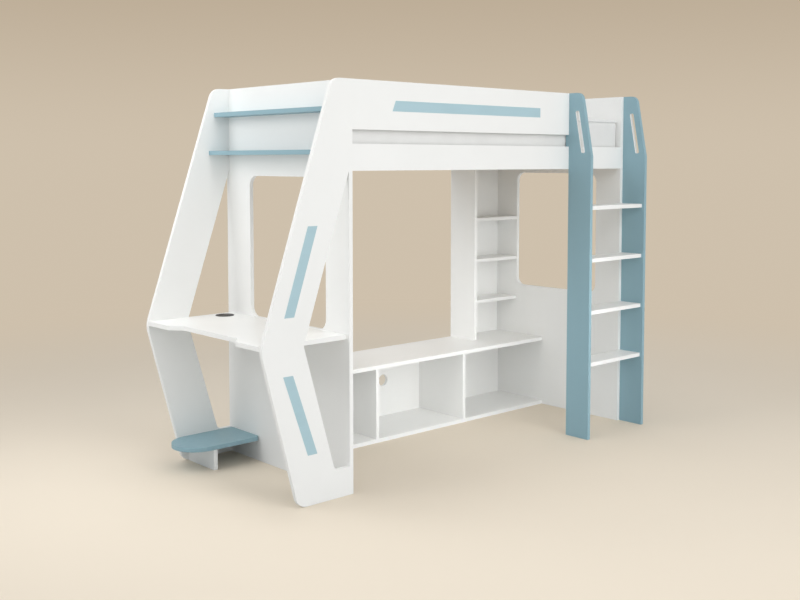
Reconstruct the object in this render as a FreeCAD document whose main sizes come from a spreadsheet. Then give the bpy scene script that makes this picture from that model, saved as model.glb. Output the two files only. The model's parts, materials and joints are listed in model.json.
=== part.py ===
"""High sleeper: a raised bed on board panels, with a desk end, a low bench, a bookcase and a ladder.

Millimetres. X runs along the bed from the desk end to the ladder end, Y from the front to the back, and Z
up from the floor. Formulas count X from the outer face of the left end panel and Y from the front faces of
the boards. Placing a piece adds LEFT and FRONT, so that the origin lies on the floor under the middle of the
whole object.
"""
import FreeCAD, Part
import math
import os
import re
import Sketcher
from FreeCAD import Rotation, Vector

DRIVING = {
    # Bed box
    "board": 20,
    "bed_length": 1920,
    "bed_depth": 954,
    "bed_height": 1808,
    "guard_height": 216,
    "guard_gap": 61,
    "rail_height": 117,
    # Windows of the end panels
    "window_front": 164,
    "window_back": 198,
    "window_rise": 2,
    "window_drop": 29,
    "window_radius": 48,
    # Side frames of the desk end
    "frame_top_width": 88,
    "elbow_proud": 5,
    "arm_width": 214,
    "foot_width": 278,
    "foot_height": 125,
    "foot_gap": 83,
    "elbow_radius": 120,
    "frame_radius": 55,
    "opening_radius": 28,
    # Desk
    "desk_height": 703,
    "desk_reach": 455,
    "recess_depth": 50,
    "recess_width": 440,
    "recess_slope": 62,
    # Cable grommet of the desk
    "grommet_reach": 82,
    "grommet_back": 74,
    "grommet_hole": 80,
    "grommet_flange": 90,
    "flange_height": 2.5,
    "liner_wall": 3,
    "lip_width": 3,
    "lip_height": 2,
    "cap_height": 4,
    "cap_clearance": 0.3,
    "notch_width": 22,
    "notch_depth": 16,
    # Display shelves
    "upper_shelf_drop": 118,
    "upper_shelf_depth": 84,
    "lower_shelf_drop": 303,
    "lower_shelf_depth": 116,
    # Tower shelf
    "tower_height": 122,
    "tower_length": 394,
    "tower_width": 244,
    "tower_flat": 1,
    "tower_radius": 20,
    "support_reach": 229,
    "support_inset": 15,
    # Bed base
    "slat_rise": 89,
    "slat_height": 20,
    "slat_width": 70,
    "slat_end_gap": 1,
    "ledger_width": 30,
    "ledger_height": 40,
    # Mattress
    "mattress_height": 180,
    "mattress_crown": 12,
    "mattress_roll": 14,
    "mattress_draw": 5,
    "mattress_corner": 25,
    "crown_flat": 46,
    "mattress_end_gap": 3,
    "mattress_side_gap": 3,
    "seat_gap": 0.3,
    # Ladder
    "step_width": 454,
    "step_depth": 130,
    "first_step": 400,
    "last_step_drop": 309,
    "ladder_depth": 144,
    "ladder_top_depth": 82,
    "slant_drop": 328,
    "ladder_radius": 40,
    "ladder_lap": 60,
    "slot_drop": 93,
    "slot_length": 218,
    "slot_width": 24,
    "slot_margin": 34,
    "slot_radius": 8,
    # Bench
    "bench_height": 404,
    "bench_depth": 384,
    "first_bay": 607,
    "second_bay": 617,
    "back_board": 18,
    "back_inset": 10,
    "cable_hole": 65,
    "cable_hole_reach": 338,
    "cable_hole_height": 222,
    # Bookcase
    "book_width": 371,
    "book_depth": 196,
    "book_setback": 21,
    "book_board": 18,
    "book_first": 230,
    "book_last": 294,
    # Blue stripes
    "film": 0.5,
    "stripe_width": 50,
    "guard_stripe_drop": 85,
    "guard_stripe_height": 47,
    "guard_stripe_inset": 231,
    "guard_stripe_slant": 19,
    "arm_stripe_rise": 108,
    "arm_stripe_length": 374,
    "arm_stripe_margin": 73,
    "leg_stripe_base": 217,
    "leg_stripe_length": 351,
    "leg_stripe_top_margin": 77,
    "leg_stripe_foot_margin": 108,
    # Fittings
    "stud_diameter": 6,
    "stud_embed": 9,
    "cam_diameter": 15,
    "cam_reach": 24,
    "cam_floor": 6,
    "fitting_inset": 32,
    "dowel_diameter": 8,
    "dowel_length": 30,
    "dowel_embed": 10,
    "dowel_inset": 20,
    "screw_diameter": 4,
    "screw_bite": 14,
    "slat_screw_bite": 20,
    "ledger_screw_rise": 8,
    "back_screw_bite": 32,
    "pin_diameter": 5,
    "pin_embed": 8,
    "pin_reach": 10,
    "bolt_diameter": 6,
    "bolt_head_diameter": 14,
    "bolt_head_height": 3,
    "nut_diameter": 9,
    "nut_length": 14,
}

STEP_COUNT = 4
BOOK_SHELF_COUNT = 3
SLAT_COUNT = 13
LEDGER_SCREW_COUNT = 7
LADDER_BOLT_COUNT = 3

LEFT = "(desk_reach - 3 * board - bed_length) / 2"
FRONT = "(ladder_depth - bed_depth) / 2"

# Planes that several pieces share
RIGHT_FACE = "(board + bed_length)"
REAR_FACE = "(bed_depth - board)"
GUARD_BASE = "(bed_height - guard_height)"
RAIL_TOP = f"({GUARD_BASE} - guard_gap)"
RAIL_BASE = f"({RAIL_TOP} - rail_height)"
DESK_BASE = "(desk_height - board)"
ELBOW = "(desk_reach + elbow_proud)"
LADDER_LEFT = "(2 * board + bed_length - step_width - board)"
LADDER_INNER = "(2 * board + bed_length - step_width)"
LADDER_RIGHT = "(2 * board + bed_length)"
BENCH_FRONT = f"({REAR_FACE} - bench_depth)"
BENCH_BACK = f"({REAR_FACE} - back_inset - back_board)"
BENCH_UNDER = "(bench_height - board)"
DIVIDERS = {"bench_divider_1": "(board + first_bay)",
            "bench_divider_2": "(2 * board + first_bay + second_bay)"}
BOOK_LEFT = f"({RIGHT_FACE} - book_width - board)"
BOOK_INNER = f"({RIGHT_FACE} - book_width)"
BOOK_BACK = f"({REAR_FACE} - back_board)"
BOOK_FRONT = f"({REAR_FACE} - book_depth)"
SLAT_TOP = f"({RAIL_BASE} + slat_rise)"
LEDGER_TOP = f"({SLAT_TOP} - slat_height)"
LEDGER_BASE = f"({LEDGER_TOP} - ledger_height)"
TOWER_FRONT = f"({REAR_FACE} - tower_width)"
TOWER_BASE = "(tower_height - board)"
GROMMET_X = "-grommet_reach"
GROMMET_Y = f"({REAR_FACE} - grommet_back)"
CAP_BASE = "(desk_height + flange_height - cap_height)"
BORE_RADIUS = "(grommet_hole / 2 - liner_wall)"

TURN_TO = {"X": Rotation(Vector(0, 1, 0), 90), "Y": Rotation(Vector(1, 0, 0), -90), "Z": Rotation()}

# How far from its origin a sketch's corners start, before their constraints place them
START_REACH = 100

doc = FreeCAD.newDocument("HighSleeper")
sheet = doc.addObject("Spreadsheet::Sheet", "Dims")
for row, (alias, value) in enumerate(DRIVING.items(), start=1):
    sheet.set(f"A{row}", alias)
    sheet.set(f"B{row}", str(value))
    sheet.setAlias(f"B{row}", alias)
doc.recompute()

blanks = {}
cutters = {}
groups = {}


def formula(text):
    """Writes each dimension's name in a formula as a reference to its cell."""
    return re.sub(r"[a-z]\w+", lambda name: "Dims." + name.group(), text)


def bind(thing, **sizes):
    for name, text in sizes.items():
        thing.setExpression(name, formula(text))


def place(thing, x, y, z):
    """Puts an object at a point that is counted from the left end panel, the front faces and the floor."""
    thing.setExpression("Placement.Base.x", formula(f"{LEFT} + {x}"))
    thing.setExpression("Placement.Base.y", formula(f"{FRONT} + {y}"))
    thing.setExpression("Placement.Base.z", formula(z))


def shifted(point, direction, amount):
    """Moves a point of formulas by an amount along a direction such as +X or -Z."""
    axis = "XYZ".index(direction[1])
    return [f"{text} {direction[0]} ({amount})" if at == axis else text for at, text in enumerate(point)]


def reverse(direction):
    return ("+" if direction[0] == "-" else "-") + direction[1]


def plain_box(label, corner, size):
    """A block, from its lowest corner and its size along X, Y and Z."""
    block = doc.addObject("Part::Box", label)
    bind(block, Length=size[0], Width=size[1], Height=size[2])
    place(block, *corner)
    return block


def box(label, corner, size):
    """A square-edged board that becomes a node once it is drilled."""
    blanks[label] = plain_box(label, corner, size)


def rod(label, direction, start, diameter, length):
    """A round bar that runs from a point in a direction such as +X or -Z."""
    bar = doc.addObject("Part::Cylinder", label)
    bind(bar, Radius=f"({diameter}) / 2", Height=length)
    bar.Placement = FreeCAD.Placement(Vector(), TURN_TO[direction[1]])
    place(bar, *(shifted(start, direction, length) if direction[0] == "-" else start))
    return bar


def cut_by(node, *tools):
    cutters.setdefault(node, []).extend(tools)


def grouped(node, *pieces):
    groups.setdefault(node, []).extend(pieces)


def joined(label, pieces):
    fuse = doc.addObject("Part::MultiFuse", label)
    fuse.Shapes = pieces
    return fuse


def cut(label, base, tool):
    result = doc.addObject("Part::Cut", label)
    result.Base = base
    result.Tool = tool
    return result


def compound(label, pieces):
    whole = doc.addObject("Part::Compound", label)
    whole.Links = pieces
    return whole


def add_sketch(body, label, plane):
    sketch = body.newObject("Sketcher::SketchObject", label)
    sketch.AttachmentSupport = [(next(f for f in body.Origin.OriginFeatures if f.Role == plane), "")]
    sketch.MapMode = "FlatFace"
    return sketch


def bind_constraint(sketch, kind, target, text, start=1.0):
    number = sketch.addConstraint(Sketcher.Constraint(kind, *target, start))
    sketch.setExpression(f"Constraints[{number}]", formula(text))


def add_polygon(sketch, corners):
    """Draws a closed outline whose corners are pairs of formulas, each bound to the sheet."""
    first = sketch.GeometryCount
    count = len(corners)
    start_turns = [Rotation(Vector(0, 0, 1), 360 * at / count) for at in range(count)]
    start_ring = [turn.multVec(Vector(START_REACH, 0, 0)) for turn in start_turns]
    for at in range(count):
        sketch.addGeometry(Part.LineSegment(start_ring[at], start_ring[(at + 1) % count]))
    for at in range(count):
        sketch.addConstraint(Sketcher.Constraint("Coincident", first + at, 2, first + (at + 1) % count, 1))
    for at, corner in enumerate(corners):
        for text, kind, axis_line in zip(corner, ("DistanceX", "DistanceY"), (-2, -1)):
            if text == "0":
                sketch.addConstraint(Sketcher.Constraint("PointOnObject", first + at, 1, axis_line))
            else:
                bind_constraint(sketch, kind, (first + at, 1), text)


def corner_edge(shape, sketch, line, thickness_axis):
    """The edge of a pad that stands on the start point of one of its sketch's lines."""
    point = sketch.Placement.multVec(sketch.getPoint(line, 1))
    for number, edge in enumerate(shape.Edges, start=1):
        along = edge.tangentAt(edge.FirstParameter)
        if abs(along.dot(thickness_axis)) > 0.999 and edge.distToShape(Part.Vertex(point))[0] < 0.001:
            return f"Edge{number}"
    raise ValueError(f"no edge at corner {line} of {sketch.Label}")


def profile(label, plane, outlines, corner, thickness, rounds=()):
    """A board with an outline: one or more polygons padded by a thickness, with some corners rounded.

    Each entry of rounds is a radius and the numbers of the corners that it rounds, counted over all outlines.
    """
    body = doc.addObject("PartDesign::Body", label)
    sketch = add_sketch(body, label + "_outline", plane)
    for outline in outlines:
        add_polygon(sketch, outline)
    pad = body.newObject("PartDesign::Pad", label + "_pad")
    pad.Profile = sketch
    pad.Reversed = plane == "XZ_Plane"
    bind(pad, Length=thickness)
    doc.recompute()
    base = pad
    normal = {"XY_Plane": Vector(0, 0, 1), "XZ_Plane": Vector(0, 1, 0), "YZ_Plane": Vector(1, 0, 0)}[plane]
    for radius, corners in rounds:
        edges = [corner_edge(base.Shape, sketch, line, normal) for line in corners]
        fillet = body.newObject("PartDesign::Fillet", f"{label}_round_{corners[0]}")
        fillet.Base = (base, edges)
        bind(fillet, Radius=radius)
        doc.recompute()
        base = fillet
    place(body, *corner)
    blanks[label] = body
    return body


def cam_joint(panel, board, direction, point, face):
    """A stud screwed into a panel and held by a cam disc in the end of a board.

    The stud crosses the joint at the point and runs into the board in the direction; the disc is let into the
    face of the board that looks the other given way.
    """
    number = len(groups.get("cam_studs", []))
    start = shifted(point, reverse(direction), "stud_embed")
    stud = rod(f"stud_{number}", direction, start, "stud_diameter", "stud_embed + cam_reach")
    centre = shifted(point, direction, "cam_reach")
    under_face = shifted(centre, reverse(face), "board / 2 - cam_floor")
    disc = rod(f"cam_{number}", face, under_face, "cam_diameter", "board - cam_floor")
    grouped("cam_studs", stud)
    grouped("cam_discs", disc)
    cut_by(panel, stud)
    cut_by(board, stud, disc)


def dowel_joint(panel, board, direction, point):
    """A dowel that sits in the face of a panel and runs in the direction into the edge of a board."""
    start = shifted(point, reverse(direction), "dowel_embed")
    dowel = rod(f"dowel_{len(groups.get('dowels', []))}", direction, start, "dowel_diameter", "dowel_length")
    grouped("dowels", dowel)
    cut_by(panel, dowel)
    cut_by(board, dowel)


def upper_edge(height):
    """How far the upper arm's outer edge stands out from the end panel at a height."""
    drop = f"(bed_height - ({height})) / (bed_height - {DESK_BASE})"
    return f"(frame_top_width + ({ELBOW} - frame_top_width) * {drop})"


def lower_edge(height):
    """How far the lower arm's outer edge stands out from the end panel at a height."""
    return f"(foot_width + ({ELBOW} - foot_width) * ({height}) / {DESK_BASE})"


def ladder_edge(height):
    """How far the slanted front edge of a ladder side stands out from the front faces at a height."""
    return f"(ladder_top_depth + (ladder_depth - ladder_top_depth) * (bed_height - ({height})) / slant_drop)"


def end_panels():
    outline = [("0", "0"), ("bed_depth", "0"), ("bed_depth", "bed_height"), ("0", "bed_height")]
    window_end = "bed_depth - window_back"
    window_base = "desk_height + window_rise"
    window_top = f"{RAIL_BASE} - window_drop"
    window = [("window_front", window_base), (window_end, window_base), (window_end, window_top),
              ("window_front", window_top)]
    rounds = [("window_radius", [4, 5, 6, 7])]
    profile("left_end_panel", "YZ_Plane", [outline, window], ["0", "0", "0"], "board", rounds)
    profile("right_end_panel", "YZ_Plane", [outline, window], [RIGHT_FACE, "0", "0"], "board", rounds)


def side_frames():
    """Two chevrons that butt on the left end panel, each with one three-sided opening."""
    inner = f"-({ELBOW} - arm_width)"
    outline = [("0", "0"), ("0", "foot_height"), ("-foot_gap", "foot_height"), (inner, DESK_BASE),
               ("0", RAIL_BASE), ("0", "bed_height"), ("-frame_top_width", "bed_height"),
               (f"-{ELBOW}", DESK_BASE), ("-foot_width", "0")]
    rounds = [("elbow_radius", [7]), ("frame_radius", [6, 8]), ("opening_radius", [2, 3])]
    for label, front in (("front_side_frame", "0"), ("rear_side_frame", REAR_FACE)):
        profile(label, "XZ_Plane", [outline], ["0", front, "0"], "board", rounds)
        for height in ("bed_height - 2 * fitting_inset", f"{RAIL_TOP} + guard_gap / 2", "foot_height / 2"):
            cam_joint("left_end_panel", label, "-X", ["0", f"{front} + board / 2", height], "+Y")


def desk():
    middle = "bed_depth / 2"
    outer = "recess_width / 2 + recess_slope"
    edge = "-desk_reach"
    recess = "-desk_reach + recess_depth"
    outline = [("0", "board"), ("0", REAR_FACE), (edge, REAR_FACE), (edge, f"{middle} + {outer}"),
               (recess, f"{middle} + recess_width / 2"), (recess, f"{middle} - recess_width / 2"),
               (edge, f"{middle} - ({outer})"), (edge, "board")]
    profile("desk_top", "XY_Plane", [outline], ["0", "0", DESK_BASE], "board")
    level = f"{DESK_BASE} + board / 2"
    for across in ("board + 2 * fitting_inset", middle, f"{REAR_FACE} - 5 * fitting_inset"):
        cam_joint("left_end_panel", "desk_top", "-X", ["0", across, level], "-Z")
    for out in (f"-({ELBOW} - 2 * fitting_inset)", f"-({ELBOW} - arm_width + fitting_inset)"):
        dowel_joint("front_side_frame", "desk_top", "+Y", [out, "board", level])
        dowel_joint("rear_side_frame", "desk_top", "-Y", [out, REAR_FACE, level])


def grommet():
    """A flanged liner pressed into the desk, and a notched cap that turns on the liner's inner lip."""
    barrel_top = [GROMMET_X, GROMMET_Y, DESK_BASE]
    flange_base = [GROMMET_X, GROMMET_Y, "desk_height"]
    lip_base = [GROMMET_X, GROMMET_Y, f"{CAP_BASE} - lip_height"]
    barrel = rod("liner_barrel", "+Z", barrel_top, "grommet_hole", "board")
    flange = rod("liner_flange", "+Z", flange_base, "grommet_flange", "flange_height")
    well = rod("liner_well", "+Z", [GROMMET_X, GROMMET_Y, CAP_BASE], f"2 * {BORE_RADIUS}", "cap_height")
    throat = rod("liner_throat", "+Z", lip_base, f"2 * ({BORE_RADIUS} - lip_width)", "lip_height")
    bore = rod("liner_bore", "+Z", barrel_top, f"2 * {BORE_RADIUS}", f"{CAP_BASE} - lip_height - {DESK_BASE}")
    cut_by("desk_top", barrel)
    liner = joined("liner_solid", [barrel, flange])
    cut("grommet_liner", liner, joined("liner_hollow", [well, throat, bore]))
    centre = [GROMMET_X, GROMMET_Y, CAP_BASE]
    disc = rod("cap_disc", "+Z", centre, f"2 * ({BORE_RADIUS} - cap_clearance)", "cap_height")
    notch_corner = [f"{GROMMET_X} - notch_width / 2", f"{GROMMET_Y} + {BORE_RADIUS} - notch_depth", CAP_BASE]
    notch = plain_box("cap_notch", notch_corner, ["notch_width", "notch_depth", "cap_height"])
    cut("grommet_cap", disc, notch)


def display_shelves():
    for label in ("upper_shelf", "lower_shelf"):
        node = label.replace("_", "_display_")
        base = f"bed_height - {label}_drop - board"
        depth = f"{label}_depth"
        box(node, [f"-{depth}", "board", base], [depth, f"{REAR_FACE} - board", "board"])
        for out in ("-dowel_inset", f"-({depth} - dowel_inset)"):
            dowel_joint("front_side_frame", node, "+Y", [out, "board", f"{base} + board / 2"])
            dowel_joint("rear_side_frame", node, "-Y", [out, REAR_FACE, f"{base} + board / 2"])


def tower_shelf():
    """A tongue with a half-round end, fixed to the end panel and the rear frame, on a low support."""
    outline = [("0", TOWER_FRONT), ("0", REAR_FACE),
               ("-tower_length", REAR_FACE), ("-tower_length", TOWER_FRONT)]
    rounds = [("(tower_width - tower_flat) / 2", [2, 3]), ("tower_radius", [0])]
    profile("tower_shelf", "XY_Plane", [outline], ["0", "0", TOWER_BASE], "board", rounds)
    box("tower_shelf_support", ["-(support_reach + board)", f"{TOWER_FRONT} + support_inset", "0"],
        ["board", "tower_width - support_inset", TOWER_BASE])
    level = f"{TOWER_BASE} + board / 2"
    support_middle = "-(support_reach + board / 2)"
    for across in (f"{TOWER_FRONT} + 2 * dowel_inset", f"{REAR_FACE} - 2 * dowel_inset"):
        dowel_joint("left_end_panel", "tower_shelf", "-X", ["0", across, level])
        dowel_joint("tower_shelf", "tower_shelf_support", "-Z", [support_middle, across, TOWER_BASE])
    for out in ("-2 * dowel_inset", "-(support_reach - 2 * dowel_inset)"):
        dowel_joint("rear_side_frame", "tower_shelf", "-Y", [out, REAR_FACE, level])


def rails():
    """Lower rails and guard rails between the end panels; the front guard rail ends at the ladder."""
    full = "bed_length"
    short = f"{LADDER_LEFT} - board"
    rail_rows = [("front_lower_rail", "0", RAIL_BASE, "rail_height", full, "right_end_panel"),
                 ("rear_lower_rail", REAR_FACE, RAIL_BASE, "rail_height", full, "right_end_panel"),
                 ("front_guard_rail", "0", GUARD_BASE, "guard_height", short, "ladder_left_side"),
                 ("rear_guard_rail", REAR_FACE, GUARD_BASE, "guard_height", full, "right_end_panel")]
    for node, front, base, height, length, right_panel in rail_rows:
        box(node, ["board", front, base], [length, "board", height])
        middle = f"{front} + board / 2"
        for level in (f"{base} + fitting_inset", f"{base} + {height} - fitting_inset"):
            cam_joint("left_end_panel", node, "+X", ["board", middle, level], "+Y")
            cam_joint(right_panel, node, "-X", [f"board + {length}", middle, level], "+Y")


def bed_base():
    """Ledgers along the inner faces of the lower rails, and slats screwed down on them."""
    ledgers = {"front_slat_ledger": ("board", "front_lower_rail", "+Y"),
               "rear_slat_ledger": (f"{REAR_FACE} - ledger_width", "rear_lower_rail", "-Y")}
    for node, (front, rail, inward) in ledgers.items():
        box(node, ["board", front, LEDGER_BASE], ["bed_length", "ledger_width", "ledger_height"])
        head = "board + ledger_width" if inward == "+Y" else front
        for number in range(LEDGER_SCREW_COUNT):
            along = f"board + bed_length * {2 * number + 1} / {2 * LEDGER_SCREW_COUNT}"
            screw = rod(f"{node}_screw_{number}", "-Y" if inward == "+Y" else "+Y",
                        [along, head, f"{LEDGER_BASE} + ledger_screw_rise"], "screw_diameter",
                        "ledger_width + screw_bite")
            grouped("ledger_screws", screw)
            cut_by(node, screw)
            cut_by(rail, screw)
    for number in range(SLAT_COUNT):
        centre = f"board + bed_length * {2 * number + 1} / {2 * SLAT_COUNT}"
        slat = f"slat_{number + 1}"
        box(slat, [f"{centre} - slat_width / 2", "board + slat_end_gap", LEDGER_TOP],
            ["slat_width", f"{REAR_FACE} - board - 2 * slat_end_gap", "slat_height"])
        for node, (front, rail, inward) in ledgers.items():
            screw = rod(f"{slat}_{node}_screw", "-Z", [centre, f"{front} + ledger_width / 2", SLAT_TOP],
                        "screw_diameter", "slat_height + slat_screw_bite")
            grouped("slat_screws", screw)
            cut_by(node, screw)
            cut_by(slat, screw)


def rounded_section(sketch, half_length, half_width, radius):
    """A rectangle with round corners about the sketch's origin: four lines joined by quarter arcs.

    L and W stand for the half length and half width, S and T for the same less the corner radius.
    """
    start_length, start_width, start_radius = 950.0, 450.0, 60.0
    reach = {"L": half_length, "S": f"{half_length} - {radius}",
             "W": half_width, "T": f"{half_width} - {radius}"}
    guess = {"L": start_length, "S": start_length - start_radius,
             "W": start_width, "T": start_width - start_radius}
    runs = ["-S-W +S-W", "+L-T +L+T", "+S+W -S+W", "-L+T -L-T"]
    centres = ["+S-T", "+S+T", "-S+T", "-S-T"]

    def start_point(code):
        return Vector(*(float(sign + "1") * guess[name] for sign, name in (code[:2], code[2:])))

    for run in runs:
        sketch.addGeometry(Part.LineSegment(*(start_point(code) for code in run.split())))
    for number, centre in enumerate(centres):
        ring = Part.Circle(start_point(centre), Vector(0, 0, 1), start_radius)
        sketch.addGeometry(Part.ArcOfCircle(ring, (number - 1) * math.pi / 2, number * math.pi / 2))
    for number, run in enumerate(runs):
        arc = number + len(runs)
        sketch.addConstraint(Sketcher.Constraint("Coincident", number, 2, arc, 1))
        sketch.addConstraint(Sketcher.Constraint("Coincident", arc, 2, (number + 1) % len(runs), 1))
        bind_constraint(sketch, "Radius", (arc,), radius, start_radius)
        for end, code in enumerate(run.split(), start=1):
            start = start_point(code)
            bind_constraint(sketch, "DistanceX", (number, end), f"{code[0]}({reach[code[1]]})", start.x)
            bind_constraint(sketch, "DistanceY", (number, end), f"{code[2]}({reach[code[3]]})", start.y)


def mattress():
    """A soft block with rolled edges, sides drawn in at mid height and a crowned top."""
    half_length = "bed_length / 2 - mattress_end_gap"
    half_width = f"({REAR_FACE} - board) / 2 - mattress_side_gap"
    crown_width = f"({half_width} - mattress_roll - mattress_corner - crown_flat)"
    sections = [("0", "mattress_roll"),
                ("mattress_roll / 3", "mattress_roll / 4"),
                ("mattress_roll", "0"),
                ("mattress_height / 2", "mattress_draw"),
                ("mattress_height - mattress_roll", "0"),
                ("mattress_height - mattress_roll / 3", "mattress_roll / 4"),
                ("mattress_height", "mattress_roll"),
                ("mattress_height + mattress_crown * 0.6", f"mattress_roll + {crown_width} / 3"),
                ("mattress_height + mattress_crown * 0.9", f"mattress_roll + {crown_width} * 2 / 3"),
                ("mattress_height + mattress_crown", f"mattress_roll + {crown_width}")]
    body = doc.addObject("PartDesign::Body", "mattress")
    sketches = []
    for number, (height, inset) in enumerate(sections):
        sketch = add_sketch(body, f"mattress_section_{number}", "XY_Plane")
        bind(sketch, **{"AttachmentOffset.Base.z": height})
        rounded_section(sketch, f"{half_length} - ({inset})", f"{half_width} - ({inset})", "mattress_corner")
        sketches.append(sketch)
    doc.recompute()
    loft = body.newObject("PartDesign::AdditiveLoft", "mattress_loft")
    loft.Profile = sketches[0]
    loft.Sections = sketches[1:]
    loft.Ruled = True
    place(body, "board + bed_length / 2", "bed_depth / 2", f"{SLAT_TOP} + seat_gap")


def ladder():
    slot_base = "bed_height - slot_drop - slot_length"
    slot_top = "bed_height - slot_drop"
    slot = [(f"slot_margin - {ladder_edge(slot_base)}", slot_base),
            (f"slot_margin + slot_width - {ladder_edge(slot_base)}", slot_base),
            (f"slot_margin + slot_width - {ladder_edge(slot_top)}", slot_top),
            (f"slot_margin - {ladder_edge(slot_top)}", slot_top)]
    front_edge = [("-ladder_depth", "0"), ("-ladder_depth", "bed_height - slant_drop"),
                  ("-ladder_top_depth", "bed_height")]
    hooked = front_edge + [("board", "bed_height"), ("board", RAIL_TOP), ("0", RAIL_TOP), ("0", "0")]
    lapped = front_edge + [("ladder_lap", "bed_height"), ("ladder_lap", "0")]
    sides = [("ladder_left_side", hooked, LADDER_LEFT), ("ladder_right_side", lapped, LADDER_RIGHT)]
    for label, outline, side in sides:
        slot_corners = [len(outline) + at for at in range(4)]
        rounds = [("ladder_radius", [2]), ("slot_radius", slot_corners)]
        profile(label, "YZ_Plane", [outline, slot], [side, "0", "0"], "board", rounds)
    climb = f"({RAIL_TOP} - last_step_drop - first_step)"
    for number in range(STEP_COUNT):
        step = f"ladder_step_{number + 1}"
        base = f"first_step + {climb} * {number} / {STEP_COUNT - 1} - board"
        box(step, [LADDER_INNER, "-step_depth", base], ["step_width", "step_depth", "board"])
        for across in ("-fitting_inset", "-(step_depth - fitting_inset)"):
            cam_joint("ladder_left_side", step, "+X", [LADDER_INNER, across, f"{base} + board / 2"], "-Z")
            cam_joint("ladder_right_side", step, "-X", [LADDER_RIGHT, across, f"{base} + board / 2"], "-Z")
    for level in (f"{RAIL_BASE} + fitting_inset", f"{RAIL_TOP} - fitting_inset"):
        dowel_joint("front_lower_rail", "ladder_left_side", "-Y", [f"{LADDER_LEFT} + board / 2", "0", level])


def ladder_bolts():
    """Bolts with sunk heads through the right ladder side, into insert nuts let into the right end panel."""
    outer_face = f"{LADDER_RIGHT} + board"
    for number in range(LADDER_BOLT_COUNT):
        level = f"bed_height * {2 * number + 1} / {2 * LADDER_BOLT_COUNT}"
        across = "ladder_lap / 2"
        outside = [outer_face, across, level]
        seat = [LADDER_RIGHT, across, level]
        head = rod(f"bolt_head_{number}", "-X", outside, "bolt_head_diameter", "bolt_head_height")
        shank = rod(f"bolt_shank_{number}", "-X", outside, "bolt_diameter", "board + nut_length")
        flange = rod(f"nut_flange_{number}", "-X", seat, "bolt_head_diameter", "bolt_head_height")
        sleeve = rod(f"nut_sleeve_{number}", "-X", seat, "nut_diameter", "nut_length")
        bolt = joined(f"bolt_{number}", [head, shank])
        nut = cut(f"nut_{number}", joined(f"nut_solid_{number}", [flange, sleeve]), shank)
        grouped("ladder_bolts", bolt)
        grouped("ladder_nuts", nut)
        cut_by("ladder_right_side", head, shank)
        cut_by("right_end_panel", shank, flange, sleeve)


def bench():
    for node, base in (("bench_top", BENCH_UNDER), ("bench_bottom", "0")):
        box(node, ["board", BENCH_FRONT, base], ["bed_length", "bench_depth", "board"])
        for across in (f"{BENCH_FRONT} + 2 * fitting_inset", f"{BENCH_BACK} - 2 * fitting_inset"):
            level = f"{base} + board / 2"
            cam_joint("left_end_panel", node, "+X", ["board", across, level], "-Z")
            cam_joint("right_end_panel", node, "-X", [RIGHT_FACE, across, level], "-Z")
    back_height = f"{BENCH_UNDER} - board"
    box("bench_back_panel", ["board", BENCH_BACK, "board"], ["bed_length", "back_board", back_height])
    hole_x = f"{DIVIDERS['bench_divider_1']} + board + cable_hole_reach"
    hole_centre = [hole_x, BENCH_BACK, "cable_hole_height"]
    cut_by("bench_back_panel", rod("cable_hole", "+Y", hole_centre, "cable_hole", "back_board"))
    middle = f"{BENCH_BACK} + back_board / 2"
    dowel_joint("left_end_panel", "bench_back_panel", "+X", ["board", middle, "bench_height / 2"])
    dowel_joint("right_end_panel", "bench_back_panel", "-X", [RIGHT_FACE, middle, "bench_height / 2"])
    for node, left in DIVIDERS.items():
        box(node, [left, BENCH_FRONT, "board"], ["board", f"{BENCH_BACK} - {BENCH_FRONT}", back_height])
        centre = f"{left} + board / 2"
        for across in (f"{BENCH_FRONT} + 2 * dowel_inset", f"{BENCH_BACK} - 4 * dowel_inset"):
            dowel_joint("bench_top", node, "-Z", [centre, across, BENCH_UNDER])
            dowel_joint("bench_bottom", node, "+Z", [centre, across, "board"])
        for level in ("board + 3 * dowel_inset", f"{BENCH_UNDER} - 3 * dowel_inset"):
            number = len(groups.get("back_screws", []))
            head = [centre, f"{BENCH_BACK} + back_board", level]
            screw = rod(f"back_screw_{number}", "-Y", head, "screw_diameter", "back_board + back_screw_bite")
            grouped("back_screws", screw)
            cut_by("bench_back_panel", screw)
            cut_by(node, screw)


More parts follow.
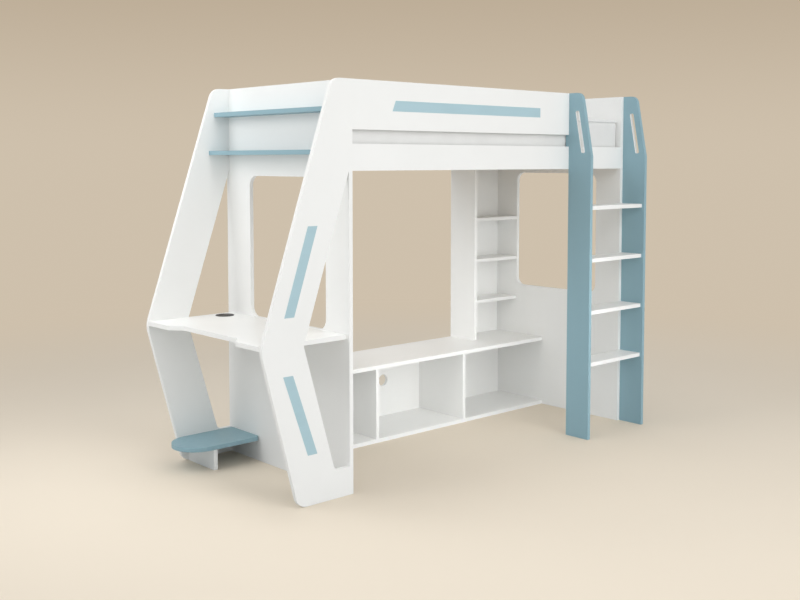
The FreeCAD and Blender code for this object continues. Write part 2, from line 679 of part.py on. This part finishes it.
def bookcase():
    """A side and a back between bench and bed, with shelves on pins in the side and the end panel."""
    height = f"{RAIL_BASE} - bench_height"
    box("bookcase_side", [BOOK_LEFT, BOOK_FRONT, "bench_height"], ["board", "book_depth", height])
    box("bookcase_back", [BOOK_INNER, BOOK_BACK, "bench_height"], ["book_width", "back_board", height])
    for across in (f"{BOOK_FRONT} + 2 * dowel_inset", f"{REAR_FACE} - 2 * dowel_inset"):
        dowel_joint("bench_top", "bookcase_side", "+Z", [f"{BOOK_LEFT} + board / 2", across, "bench_height"])
    middle = f"{BOOK_BACK} + back_board / 2"
    for level in ("bench_height + 3 * dowel_inset", f"{RAIL_BASE} - 3 * dowel_inset"):
        dowel_joint("bookcase_side", "bookcase_back", "+X", [BOOK_INNER, middle, level])
        dowel_joint("right_end_panel", "bookcase_back", "-X", [RIGHT_FACE, middle, level])
    shelf_front = f"{BOOK_FRONT} + book_setback"
    shelf_span = f"({height} - book_first - book_last)"
    for number in range(BOOK_SHELF_COUNT):
        shelf = f"bookcase_shelf_{number + 1}"
        base = f"bench_height + book_first + {shelf_span} * {number} / {BOOK_SHELF_COUNT - 1} - book_board"
        shelf_depth = f"{BOOK_BACK} - ({shelf_front})"
        box(shelf, [BOOK_INNER, shelf_front, base], ["book_width", shelf_depth, "book_board"])
        for at, across in enumerate((f"{shelf_front} + 2 * dowel_inset", f"{BOOK_BACK} - 2 * dowel_inset")):
            level = f"{base} - pin_diameter / 2"
            for panel, inward, start in (("bookcase_side", "+X", f"{BOOK_INNER} - pin_embed"),
                                         ("right_end_panel", "-X", f"{RIGHT_FACE} + pin_embed")):
                pin = rod(f"{shelf}_pin_{panel}_{at}", inward, [start, across, level], "pin_diameter",
                          "pin_embed + pin_reach")
                grouped("shelf_pins", pin)
                cut_by(panel, pin)


def stripes():
    """Films on the front faces: one along the guard rail and one along each arm of the front frame."""
    guard_base = "bed_height - guard_stripe_drop - guard_stripe_height"
    guard_top = "bed_height - guard_stripe_drop"
    left = "board + guard_stripe_inset"
    right = f"{LADDER_LEFT} - guard_stripe_inset"
    arm_base = "desk_height + arm_stripe_rise"
    arm_top = f"{arm_base} + arm_stripe_length"
    leg_top = "leg_stripe_base + leg_stripe_length"

    def along_arm(base, top, base_edge, top_edge):
        return [(f"-{base_edge}", base), (f"stripe_width - {base_edge}", base),
                (f"stripe_width - {top_edge}", top), (f"-{top_edge}", top)]

    outlines = {
        "guard_stripe": [(left, guard_base), (right, guard_base), (right, guard_top),
                         (f"{left} + guard_stripe_slant", guard_top)],
        "upper_arm_stripe": along_arm(arm_base, arm_top, f"({upper_edge(arm_base)} - arm_stripe_margin)",
                                      f"({upper_edge(arm_top)} - arm_stripe_margin)"),
        "lower_arm_stripe": along_arm("leg_stripe_base", leg_top,
                                      f"({lower_edge('leg_stripe_base')} - leg_stripe_foot_margin)",
                                      f"({lower_edge(leg_top)} - leg_stripe_top_margin)")}
    for node, outline in outlines.items():
        profile(node, "XZ_Plane", [outline], ["0", "-film", "0"], "film")


def finish_pieces():
    """Drills the boards for their fittings, groups the fittings, and returns each node's finished object."""
    nodes = {}
    for node, blank in blanks.items():
        if node in cutters:
            blank.Label = node + "_blank"
            nodes[node] = cut(node + "_drilled", blank, joined(node + "_holes", cutters[node]))
        else:
            nodes[node] = blank
    slats = [nodes.pop(f"slat_{number + 1}") for number in range(SLAT_COUNT)]
    nodes["bed_slats"] = compound("bed_slats_group", slats)
    for node, pieces in groups.items():
        nodes[node] = compound(node + "_group", pieces)
    nodes["cam_discs"] = cut("cam_discs_bored", nodes["cam_discs"], nodes["cam_studs"])
    for node in ("grommet_liner", "grommet_cap", "mattress"):
        nodes[node] = doc.getObject(node)
    for node, piece in nodes.items():
        piece.Label = node
    doc.recompute()
    return nodes


def check(nodes):
    for thing in doc.Objects:
        if "Invalid" in thing.State or "Error" in thing.State:
            raise RuntimeError(f"{thing.Label} failed: {thing.State}")
    for node, piece in nodes.items():
        if piece.Shape.isNull() or not piece.Shape.isValid() or not piece.Shape.Solids:
            raise RuntimeError(f"{node} has no valid solid")
        if piece.Label != node:
            raise RuntimeError(f"{node} is labelled {piece.Label}")


def write_steps(nodes):
    os.makedirs("parts", exist_ok=True)
    for node, piece in nodes.items():
        piece.Shape.exportStep(f"parts/{node}.step")
        print(f"{node}: {len(piece.Shape.Solids)} solids, {piece.Shape.Volume / 1000:.1f} cm3")


end_panels()
side_frames()
desk()
grommet()
display_shelves()
tower_shelf()
rails()
bed_base()
mattress()
ladder()
ladder_bolts()
bench()
bookcase()
stripes()
finished = finish_pieces()
check(finished)
write_steps(finished)
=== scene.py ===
"""Looks of the high sleeper: materials, a soft mattress, a pale floor, light and camera."""

import json
import math

import bmesh
import bpy
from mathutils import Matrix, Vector, noise


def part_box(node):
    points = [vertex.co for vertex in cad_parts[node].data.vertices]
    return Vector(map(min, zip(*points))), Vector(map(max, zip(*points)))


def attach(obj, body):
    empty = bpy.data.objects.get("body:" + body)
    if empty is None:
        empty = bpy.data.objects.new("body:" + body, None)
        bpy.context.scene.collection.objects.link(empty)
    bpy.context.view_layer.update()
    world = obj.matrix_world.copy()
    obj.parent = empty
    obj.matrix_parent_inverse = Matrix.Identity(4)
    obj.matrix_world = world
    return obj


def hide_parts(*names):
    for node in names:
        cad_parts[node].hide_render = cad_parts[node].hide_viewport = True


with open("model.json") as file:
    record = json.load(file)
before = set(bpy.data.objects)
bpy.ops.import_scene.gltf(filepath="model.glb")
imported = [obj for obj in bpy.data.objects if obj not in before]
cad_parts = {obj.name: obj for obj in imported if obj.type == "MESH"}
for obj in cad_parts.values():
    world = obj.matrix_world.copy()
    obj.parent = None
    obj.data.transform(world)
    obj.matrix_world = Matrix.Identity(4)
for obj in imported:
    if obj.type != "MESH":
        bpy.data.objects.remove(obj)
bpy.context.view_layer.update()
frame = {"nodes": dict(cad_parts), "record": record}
nodes = frame["nodes"]

# Camera: nearly level, with its picture shifted down, as the photograph's upright lines show
CAMERA_PLACE = (-3.5885, -3.8595, 1.4589)
CAMERA_PITCH = -0.06501
CAMERA_YAW = -0.73475
CAMERA_LENS = 46.742
CAMERA_SENSOR = 36.0
CAMERA_SHIFT = -0.09
CAMERA_REACH = 200.0

# Board edges: width and steps of their rounding, the widest turn left as it is, and the weld before it
EDGE_RADIUS = 0.0008
EDGE_STEPS = 2
EDGE_ANGLE = math.radians(40)
WELD_REACH = 0.00002

# Ladder hand slots: how far at most a wall lies from the slot's middle line and past its openings,
# and the most that the wall's normal points along X
SLOT_REACH = 0.02
SLOT_END = 0.02
SLOT_LEAN = 0.5

# Mattress block, as the CAD has it: height at the sides, corner radius, rolled edges and drawn-in sides,
# and the height above the sides from which its crown stays as it is
MATTRESS_HEIGHT = 0.18
MATTRESS_CORNER = 0.025
EDGE_ROLL = 0.014
SIDE_DRAW = 0.005
CROWN_START = 0.005

# Mattress cover: mesh pitch, how full its sides and corners are, how uneven and drooping its top is,
# and its clearance inside the block's box
COVER_PITCH = 0.012
SIDE_FILL = 0.9
CORNER_POWER = 5.0
CORNER_DROOP = 0.008
CORNER_SPAN = 0.15
UNEVEN_RISE = 0.003
UNEVEN_SCALE = 6.0
SIDE_CLEARANCE = 0.0015

# Cloth simulation that fills the cover: pressure, accuracy, frames, and the most that a point moves
CLOTH_PRESSURE = 3.0
CLOTH_QUALITY = 4
CLOTH_FRAMES = 20
COVER_SWELL = 0.006

# Mattress seams: distance from the top and bottom, how deep and wide they draw in, and the tape on them
SEAM_RISE = 0.014
SEAM_DRAW = 0.005
SEAM_WIDTH = 0.012
TAPE_RADIUS = 0.005
TAPE_PROUD = 0.001
TAPE_CORNER = 0.012
TAPE_CORNER_STEPS = 8
TAPE_ROUNDNESS = 3

# Stitch pitch of the cover's knit and of the tape's
COVER_STITCH = 0.003
TAPE_STITCH = 0.0012

# Range that most values of a texture lie in
TEXTURE_LOW = 0.3
TEXTURE_HIGH = 0.7

# Scale of a texture along each axis, for the film's streaks and the metal's scratches
STREAK_SCALE = (1.0, 1.0, 5.0)
SCRATCH_SCALE = (1.0, 0.12, 1.0)

# Wood: scale of its grain along the fibres, and the lowest value of its figure
GRAIN_SCALE = 0.06
FIGURE_BASE = 0.18

# World light from the horizon and from straight above, and how high the backdrop's painted light, lighter
# at the horizon, reaches before the backdrop takes its darker full colour
LEVEL_LIGHT = 0.42
OVERHEAD_LIGHT = 0.8
BACKDROP_RISE = 0.22

# Floor disc, its drop below the feet, and where it starts and ends fading into the backdrop
FLOOR_RADIUS = 60.0
FLOOR_SIDES = 96
FLOOR_DROP = 0.0005
FADE_START = 1.6
FADE_END = 5.5

# Colours, linear
WHITE = (0.912, 0.914, 0.898)
BLUE = (0.285, 0.445, 0.51)
FILM_BLUE = (0.43, 0.60, 0.66)
DARK_GREY = (0.055, 0.06, 0.065)
PINE = (0.74, 0.57, 0.37)
BEECH = (0.60, 0.42, 0.27)
ZINC = (0.60, 0.60, 0.61)
COVER = (0.83, 0.83, 0.815)
TAPE = (0.87, 0.87, 0.86)
DAYLIGHT = (0.98, 0.99, 1.0)
FLOOR = (0.81, 0.725, 0.605)
FLOOR_BOUNCE = (0.68, 0.675, 0.655)
# Backdrop with painted light: lighter at the horizon, where the far floor also fades to it, and darker
# higher up
PAINTED_HORIZON_LIGHT = (0.62, 0.53, 0.415)
BACKDROP = (0.48, 0.39, 0.285)

scene = bpy.context.scene
scene.view_settings.view_transform = "Standard"


def scaled(colour, factor=1.0):
    return tuple(channel * factor for channel in colour) + (1.0,)


def add_node(tree, kind, inputs=(), **settings):
    """A shader node with its settings, and with each input set to a value or linked to a socket."""
    node = tree.nodes.new(kind)
    for name, value in settings.items():
        setattr(node, name, value)
    for name, value in dict(inputs).items():
        if isinstance(value, bpy.types.NodeSocket):
            tree.links.new(value, node.inputs[name])
        else:
            node.inputs[name].default_value = value
    return node


def seen_ray(tree):
    """One for rays that show a surface, directly or in a reflection, and zero for those that light."""
    path = add_node(tree, "ShaderNodeLightPath")
    seen = path.outputs["Is Camera Ray"]
    for ray in ("Is Glossy Ray", "Is Transmission Ray"):
        either = add_node(tree, "ShaderNodeMath", {0: seen, 1: path.outputs[ray]}, operation="MAXIMUM")
        seen = either.outputs[0]
    return seen


class Shader:
    """A material with one principled shader, and short ways to feed its sockets."""

    def __init__(self, name):
        self.material = bpy.data.materials.new(name)
        self.material.use_nodes = True
        self.tree = self.material.node_tree
        self.surface = self.tree.nodes["Principled BSDF"]
        self.place = self.add("ShaderNodeTexCoord").outputs["Object"]

    def add(self, kind, inputs=(), **settings):
        return add_node(self.tree, kind, inputs, **settings)

    def feed(self, socket, value):
        if isinstance(value, bpy.types.NodeSocket):
            self.tree.links.new(value, self.surface.inputs[socket])
        else:
            self.surface.inputs[socket].default_value = value

    def stretched(self, scale):
        return self.add("ShaderNodeMapping", {"Vector": self.place, "Scale": scale}).outputs["Vector"]

    def noise(self, scale, detail=2.0, vector=None):
        inputs = {"Vector": vector or self.place, "Scale": scale, "Detail": detail}
        return self.add("ShaderNodeTexNoise", inputs).outputs["Fac"]

    def math(self, operation, *values):
        return self.add("ShaderNodeMath", dict(enumerate(values)), operation=operation).outputs[0]

    def spread(self, value, low, high):
        """A texture's usual range as a range of numbers."""
        inputs = {"Value": value, "From Min": TEXTURE_LOW, "From Max": TEXTURE_HIGH,
                  "To Min": low, "To Max": high}
        return self.add("ShaderNodeMapRange", inputs).outputs["Result"]

    def tinted(self, value, colour, dark, light):
        """A texture's usual range as tints of a colour, from a darker to a lighter one."""
        ramp = self.add("ShaderNodeValToRGB", {"Fac": value})
        stops = zip(ramp.color_ramp.elements, (TEXTURE_LOW, TEXTURE_HIGH), (dark, light))
        for element, position, factor in stops:
            element.position = position
            element.color = scaled(colour, factor)
        return ramp.outputs["Color"]

    def raise_by(self, height, distance, strength, under=None):
        """A surface normal from bumps, laid over the normal of other bumps where one is given."""
        inputs = {"Height": height, "Distance": distance, "Strength": strength}
        if under:
            inputs["Normal"] = under
        return self.add("ShaderNodeBump", inputs).outputs["Normal"]


def coated_board(name, colour, rough, gloss):
    """Melamine on chipboard: a faint cloudiness, a fine pearl grain and uneven sheen."""
    shader = Shader(name)
    cloud = shader.noise(scale=2.6, detail=4.0)
    shader.feed("Base Color", shader.tinted(cloud, colour, dark=0.985, light=1.012))
    sheen = shader.noise(scale=38.0, detail=3.0)
    shader.feed("Roughness", shader.spread(sheen, low=rough - 0.05, high=rough + 0.06))
    pearl = shader.raise_by(shader.noise(scale=1300.0, detail=1.0), distance=0.0002, strength=0.22)
    ripple = shader.raise_by(shader.noise(scale=90.0), distance=0.0004, strength=0.12, under=pearl)
    shader.feed("Normal", ripple)
    shader.feed("Specular IOR Level", gloss)
    return shader.material


def printed_film(name, colour):
    """A matt adhesive film with a fine calendered grain."""
    shader = Shader(name)
    streak = shader.noise(scale=6.0, detail=3.0, vector=shader.stretched(STREAK_SCALE))
    shader.feed("Base Color", shader.tinted(streak, colour, dark=0.98, light=1.015))
    shader.feed("Roughness", shader.spread(shader.noise(scale=60.0), low=0.46, high=0.58))
    grain = shader.noise(scale=2100.0, detail=1.0)
    shader.feed("Normal", shader.raise_by(grain, distance=0.0001, strength=0.25))
    shader.feed("Specular IOR Level", 0.35)
    return shader.material


def moulded_plastic(name, colour):
    """Dark plastic with a spark-eroded grain."""
    shader = Shader(name)
    fleck = shader.noise(scale=700.0)
    shader.feed("Base Color", shader.tinted(fleck, colour, dark=0.82, light=1.2))
    shader.feed("Roughness", shader.spread(shader.noise(scale=120.0), low=0.42, high=0.6))
    shader.feed("Normal", shader.raise_by(shader.noise(scale=1700.0), distance=0.0002, strength=0.6))
    return shader.material


def planed_wood(name, colour, along):
    """Planed wood with growth bands and fibres along one axis."""
    shader = Shader(name)
    grain = shader.stretched(tuple(GRAIN_SCALE if axis == along else 1.0 for axis in "XYZ"))
    inputs = {"Vector": grain, "Scale": 34.0, "Distortion": 5.0, "Detail": 3.0, "Detail Scale": 1.4}
    bands = shader.add("ShaderNodeTexWave", inputs, bands_direction="DIAGONAL").outputs["Fac"]
    fibre = shader.noise(scale=420.0, detail=4.0, vector=grain)
    figure = shader.math("MULTIPLY_ADD", bands, fibre, FIGURE_BASE)
    shader.feed("Base Color", shader.tinted(figure, colour, dark=0.8, light=1.16))
    shader.feed("Roughness", shader.spread(fibre, low=0.5, high=0.68))
    shader.feed("Normal", shader.raise_by(fibre, distance=0.0004, strength=0.35))
    return shader.material


def plated_metal(name, colour, rough):
    """Zinc plate or cast zinc with stains and fine scratches."""
    shader = Shader(name)
    scratch = shader.noise(scale=900.0, detail=3.0, vector=shader.stretched(SCRATCH_SCALE))
    stain = shader.noise(scale=160.0)
    shader.feed("Base Color", shader.tinted(stain, colour, dark=0.9, light=1.08))
    shader.feed("Roughness", shader.spread(scratch, low=rough - 0.1, high=rough + 0.12))
    shader.feed("Metallic", 1.0)
    shader.feed("Normal", shader.raise_by(scratch, distance=0.0001, strength=0.3))
    return shader.material


def knit_fabric(name, colour, pitch):
    """A close white knit: rows of small stitches over a soft uneven surface."""
    shader = Shader(name)
    axes = shader.add("ShaderNodeSeparateXYZ", {0: shader.place}).outputs
    waves = [shader.math("SINE", shader.math("MULTIPLY", along, math.tau / pitch)) for along in axes]
    stitch = shader.math("ADD", shader.math("ADD", waves[0], waves[1]), waves[2])
    soft = shader.noise(scale=14.0, detail=3.0)
    shader.feed("Base Color", shader.tinted(soft, colour, dark=0.982, light=1.012))
    shader.feed("Roughness", 0.9)
    shader.feed("Sheen Weight", 0.25)
    shader.feed("Sheen Roughness", 0.5)
    stitched = shader.raise_by(stitch, distance=0.0003, strength=0.5)
    padded = shader.raise_by(shader.noise(scale=90.0), distance=0.0004, strength=0.3, under=stitched)
    shader.feed("Normal", padded)
    return shader.material


def dress_nodes():
    """Gives every CAD node its procedural material, and soft edges to the boards and the grommet."""
    white = coated_board("white_melamine", WHITE, rough=0.42, gloss=0.42)
    by_slot = {
        "white_board": white,
        "blue_board": coated_board("blue_melamine", BLUE, rough=0.46, gloss=0.28),
        "blue_film": printed_film("blue_film", FILM_BLUE),
        "grommet_plastic": moulded_plastic("grommet_plastic", DARK_GREY),
        "pine": planed_wood("pine_along_bed", PINE, along="X"),
        "dowel_wood": planed_wood("beech", BEECH, along="Y"),
        "zinc_steel": plated_metal("zinc_plate", ZINC, rough=0.38),
        "cast_zinc": plated_metal("cast_zinc", ZINC, rough=0.5),
        "mattress_cover": white,
    }
    cross_pine = planed_wood("pine_across_bed", PINE, along="Y")
    for part in frame["record"]["subparts"]:
        node = nodes[part["node"]]
        slot = part["material_slot"]
        node.data.materials.clear()
        node.data.materials.append(cross_pine if part["node"] == "bed_slats" else by_slot[slot])
        if slot in ("white_board", "blue_board", "grommet_plastic"):
            soften_edges(node)
    for end in ("left", "right"):
        whiten_slot_walls(end, white)


def soften_edges(piece):
    weld = piece.modifiers.new("join_faces", "WELD")
    weld.merge_threshold = WELD_REACH
    bevel = piece.modifiers.new("soft_edges", "BEVEL")
    bevel.width = EDGE_RADIUS
    bevel.segments = EDGE_STEPS
    bevel.limit_method = "ANGLE"
    bevel.angle_limit = EDGE_ANGLE
    bevel.harden_normals = True


def whiten_slot_walls(end, white):
    """The walls of a ladder side's hand slot, which two stated openings lie in, are white."""
    openings = frame["record"]["physics"]["openings"]
    boxes = [opening["box_m"] for opening in openings if opening["name"].startswith(f"{end}_hand_slot")]
    middles = [(Vector(low) + Vector(high)) / 2 for low, high in boxes]
    lower, upper = sorted(middles, key=lambda place: place.z)
    slant = (upper.y - lower.y) / (upper.z - lower.z)
    base = min(low[2] for low, high in boxes) - SLOT_END
    top = max(high[2] for low, high in boxes) + SLOT_END
    mesh = nodes[f"ladder_{end}_side"].data
    mesh.materials.append(white)
    for face in mesh.polygons:
        place = face.center
        beside = abs(place.y - lower.y - slant * (place.z - lower.z))
        if abs(face.normal.x) < SLOT_LEAN and beside < SLOT_REACH and base < place.z < top:
            face.material_index = 1


def add_camera():
    camera = bpy.data.objects.new("camera", bpy.data.cameras.new("camera"))
    camera.location = CAMERA_PLACE
    camera.rotation_euler = (math.pi / 2 + CAMERA_PITCH, 0.0, CAMERA_YAW)
    camera.data.lens = CAMERA_LENS
    camera.data.sensor_width = CAMERA_SENSOR
    camera.data.shift_y = CAMERA_SHIFT
    camera.data.clip_end = CAMERA_REACH
    scene.collection.objects.link(camera)
    scene.camera = camera


def add_area_light(name, place, target, size, power, spread=math.pi):
    lamp = bpy.data.lights.new(name, "AREA")
    lamp.shape = "RECTANGLE"
    lamp.size, lamp.size_y = size
    lamp.energy = power
    lamp.spread = spread
    light = bpy.data.objects.new(name, lamp)
    light.location = place
    light.visible_camera = False
    light.visible_glossy = False
    light.rotation_euler = (Vector(target) - Vector(place)).to_track_quat("-Z", "Y").to_euler()
    scene.collection.objects.link(light)


def add_lights():
    """Two wide soft lamps in front, two at the desk end and four weak ones for the space under the bed."""
    add_area_light("key", place=(-0.8, -4.7, 4.4), target=(-0.2, 0.1, 0.7),
                   size=(3.4, 2.6), power=68.0)
    add_area_light("front_fill", place=(-0.6, -5.6, 2.2), target=(-0.3, 0.0, 1.1),
                   size=(5.0, 2.0), power=66.0)
    add_area_light("desk_end", place=(-2.4, 0.55, 1.9), target=(-0.76, 0.05, 1.1),
                   size=(1.4, 1.4), power=15.0)
    add_area_light("desk_top", place=(-1.25, 0.1, 3.7), target=(-1.0, 0.07, 0.7),
                   size=(0.8, 0.8), power=14.0)
    add_area_light("under_bed", place=(-0.5, -0.05, 1.15), target=(0.7, 0.45, 0.35),
                   size=(0.4, 0.4), power=0.8, spread=1.4)
    add_area_light("bench", place=(0.0, -2.2, 0.6), target=(0.4, 0.5, 0.42),
                   size=(1.2, 0.4), power=1.55, spread=0.9)
    add_area_light("bench_end", place=(-0.66, -0.2, 0.22), target=(0.5, 0.3, 0.2),
                   size=(0.2, 0.2), power=0.12, spread=1.4)
    add_area_light("bookcase", place=(0.3, -2.2, 0.95), target=(0.8, 0.4, 0.85),
                   size=(0.5, 0.5), power=0.22, spread=0.5)


def add_world():
    """Soft light, most of it from overhead; the camera and reflections see a backdrop instead, with
    painted light: lighter near the horizon, darker above.
    """
    scene.world = bpy.data.worlds.new("studio")
    scene.world.use_nodes = True
    tree = scene.world.node_tree
    tree.nodes.clear()
    direction = add_node(tree, "ShaderNodeTexCoord").outputs["Generated"]
    height = add_node(tree, "ShaderNodeSeparateXYZ", {0: direction}).outputs["Z"]
    levels = {"Value": height, "To Min": LEVEL_LIGHT, "To Max": OVERHEAD_LIGHT}
    strength = add_node(tree, "ShaderNodeMapRange", levels).outputs["Result"]
    light = add_node(tree, "ShaderNodeBackground", {"Color": scaled(DAYLIGHT), "Strength": strength})
    # Painted light on the backdrop: lighter at the horizon, darkening up to BACKDROP_RISE
    shade = add_node(tree, "ShaderNodeValToRGB", {"Fac": height})
    shade.color_ramp.interpolation = "EASE"
    shade.color_ramp.elements[0].color = scaled(PAINTED_HORIZON_LIGHT)
    shade.color_ramp.elements[1].position = BACKDROP_RISE
    shade.color_ramp.elements[1].color = scaled(BACKDROP)
    backdrop = add_node(tree, "ShaderNodeBackground", {"Color": shade.outputs["Color"]})
    shown = {"Fac": seen_ray(tree), 1: light.outputs[0], 2: backdrop.outputs[0]}
    mix = add_node(tree, "ShaderNodeMixShader", shown)
    add_node(tree, "ShaderNodeOutputWorld", {"Surface": mix.outputs[0]})


def add_floor():
    """A pale matt floor that fades into the backdrop colour far from the object."""
    mesh = bpy.data.meshes.new("floor")
    shape = bmesh.new()
    bmesh.ops.create_circle(shape, cap_ends=True, segments=FLOOR_SIDES, radius=FLOOR_RADIUS)
    shape.to_mesh(mesh)
    shape.free()
    floor = bpy.data.objects.new("floor", mesh)
    floor.location.z = -FLOOR_DROP
    scene.collection.objects.link(floor)
    shader = Shader("pale_floor")
    seen = seen_ray(shader.tree)
    mottle = shader.noise(scale=0.7, detail=3.0)
    shown = shader.tinted(mottle, FLOOR, dark=0.99, light=1.01)
    colours = {"Fac": seen, "Color1": scaled(FLOOR_BOUNCE), "Color2": shown}
    shader.feed("Base Color", shader.add("ShaderNodeMixRGB", colours).outputs["Color"])
    shader.feed("Roughness", 0.85)
    shader.feed("Specular IOR Level", 0.15)
    away = shader.add("ShaderNodeVectorMath", {0: shader.place}, operation="LENGTH").outputs["Value"]
    span = {"Value": away, "From Min": FADE_START, "From Max": FADE_END}
    fade = shader.add("ShaderNodeMapRange", span, interpolation_type="SMOOTHSTEP").outputs["Result"]
    # Far off, the floor glows in the backdrop's painted horizon colour, seen only by the camera and
    # reflections
    glow = shader.add("ShaderNodeEmission", {"Color": scaled(PAINTED_HORIZON_LIGHT)}).outputs[0]
    layers = {"Fac": shader.math("MULTIPLY", fade, seen), 1: shader.surface.outputs[0], 2: glow}
    mix = shader.add("ShaderNodeMixShader", layers).outputs[0]
    shader.tree.links.new(mix, shader.tree.nodes["Material Output"].inputs["Surface"])
    mesh.materials.append(shader.material)


def fill_out(cover, low, high):
    """A fuller outline than the plain block's: squarer corners, and sides drawn in less."""
    middle = (low + high) / 2
    half = (high - low) / 2
    half_height = MATTRESS_HEIGHT / 2
    straight = half_height - EDGE_ROLL
    for vertex in cover.data.vertices:
        rise = abs(vertex.co.z - low.z - half_height)
        if rise > half_height + CROWN_START:
            continue
        over = min(max(rise - straight, 0.0), EDGE_ROLL)
        drawn = SIDE_DRAW * max(0.0, 1.0 - (rise / straight) ** 2)
        inset = drawn + EDGE_ROLL - math.sqrt(EDGE_ROLL ** 2 - over ** 2)
        place = vertex.co - middle
        past = [abs(place[axis]) - half[axis] + inset + MATTRESS_CORNER for axis in (0, 1)]
        if min(past) > 0.0:
            reach = math.hypot(*past)
            square = sum((along / reach) ** CORNER_POWER for along in past) ** (-1.0 / CORNER_POWER)
            past = [along * square for along in past]
        for axis in (0, 1):
            full = half[axis] - inset - MATTRESS_CORNER + past[axis]
            full *= 1.0 + SIDE_FILL * drawn / half[axis]
            vertex.co[axis] = middle[axis] + math.copysign(full, place[axis])


def swell_cover(cover, low, top_seam):
    """Swells the cover by a short cloth simulation that holds it at its base and top seam."""
    held = cover.vertex_groups.new(name="held")
    rest = [vertex.co.copy() for vertex in cover.data.vertices]
    for vertex in cover.data.vertices:
        at_seam = abs(vertex.co.z - top_seam) < COVER_PITCH
        if at_seam or vertex.co.z < low.z + COVER_PITCH:
            held.add([vertex.index], 1.0, "REPLACE")
    cloth = cover.modifiers.new("filling", "CLOTH")
    cloth.settings.vertex_group_mass = "held"
    cloth.settings.use_pressure = True
    cloth.settings.uniform_pressure_force = CLOTH_PRESSURE
    cloth.settings.quality = CLOTH_QUALITY
    cloth.settings.effector_weights.gravity = 0.0
    cloth.point_cache.frame_end = CLOTH_FRAMES
    for number in range(1, CLOTH_FRAMES + 1):
        scene.frame_set(number)
    swollen = cover.evaluated_get(bpy.context.evaluated_depsgraph_get()).data
    moved = [vertex.co.copy() for vertex in swollen.vertices]
    cover.modifiers.remove(cloth)
    cover.vertex_groups.remove(held)
    scene.frame_set(1)
    for vertex, before, after in zip(cover.data.vertices, rest, moved):
        shift = after - before
        reach = shift.length
        if reach > 0.0:
            vertex.co = before + shift * (COVER_SWELL * math.tanh(reach / COVER_SWELL) / reach)


def shape_cover(cover, low, high, seams):
    """Uneven padding, softer corners, and sides within the block's box that draw in at the seams."""
    middle = (low + high) / 2
    half = (high - low) / 2
    for vertex in cover.data.vertices:
        across = vertex.co - middle
        nearest = min(abs(vertex.co.z - seam) for seam in seams)
        room = SIDE_CLEARANCE + SEAM_DRAW * math.exp(-(nearest / SEAM_WIDTH) ** 2)
        lift = max(0.0, across.z / half.z)
        inward = [half[axis] - abs(across[axis]) for axis in (0, 1)]
        corner = math.prod(max(0.0, 1.0 - distance / CORNER_SPAN) for distance in inward)
        uneven = UNEVEN_RISE * noise.noise(vertex.co * UNEVEN_SCALE)
        vertex.co.z += lift * (uneven - CORNER_DROOP * corner)
        for axis in (0, 1):
            vertex.co[axis] = min(max(vertex.co[axis], low[axis] + room), high[axis] - room)


def tape_edge(name, low, high, height, material):
    """A sewn tape that runs round the mattress at one height."""
    middle = (low + high) / 2
    turn_centre = (high - low) / 2 - Vector((1.0, 1.0, 0.0)) * (TAPE_RADIUS - TAPE_PROUD + TAPE_CORNER)
    points = []
    for turn, (side_x, side_y) in enumerate(((1, 1), (-1, 1), (-1, -1), (1, -1))):
        for step in range(TAPE_CORNER_STEPS + 1):
            angle = (turn + step / TAPE_CORNER_STEPS) * math.pi / 2
            along = middle.x + side_x * turn_centre.x + TAPE_CORNER * math.cos(angle)
            across = middle.y + side_y * turn_centre.y + TAPE_CORNER * math.sin(angle)
            points.append((along, across, height, 1.0))
    curve = bpy.data.curves.new(name, "CURVE")
    curve.dimensions = "3D"
    curve.bevel_depth = TAPE_RADIUS
    curve.bevel_resolution = TAPE_ROUNDNESS
    line = curve.splines.new("POLY")
    line.points.add(len(points) - 1)
    for target, point in zip(line.points, points):
        target.co = point
    line.use_cyclic_u = True
    tape = bpy.data.objects.new(name, curve)
    scene.collection.objects.link(tape)
    curve.materials.append(material)
    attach(tape, "mattress_body")


def add_mattress():
    """A filled knit cover in place of the plain CAD block, with a tape at its top and bottom seams."""
    low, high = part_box("mattress")
    cover = bpy.data.objects.new("mattress_cover", nodes["mattress"].data.copy())
    scene.collection.objects.link(cover)
    fill_out(cover, low, high)
    remesh = cover.modifiers.new("even_mesh", "REMESH")
    remesh.mode = "VOXEL"
    remesh.voxel_size = COVER_PITCH
    even = cover.evaluated_get(bpy.context.evaluated_depsgraph_get())
    cover.data = bpy.data.meshes.new_from_object(even)
    cover.modifiers.clear()
    seams = {"mattress_base_tape": low.z + SEAM_RISE,
             "mattress_top_tape": low.z + MATTRESS_HEIGHT - SEAM_RISE}
    swell_cover(cover, low, seams["mattress_top_tape"])
    shape_cover(cover, low, high, seams.values())
    cover.data.shade_smooth()
    smooth = cover.modifiers.new("smooth", "SUBSURF")
    smooth.levels = smooth.render_levels = 1
    cover.data.materials.clear()
    cover.data.materials.append(knit_fabric("mattress_knit", COVER, COVER_STITCH))
    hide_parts("mattress")
    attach(cover, "mattress_body")
    tape_knit = knit_fabric("tape_knit", TAPE, TAPE_STITCH)
    for name, height in seams.items():
        tape_edge(name, low, high, height, tape_knit)


add_camera()
add_world()
add_lights()
add_floor()
dress_nodes()
add_mattress()
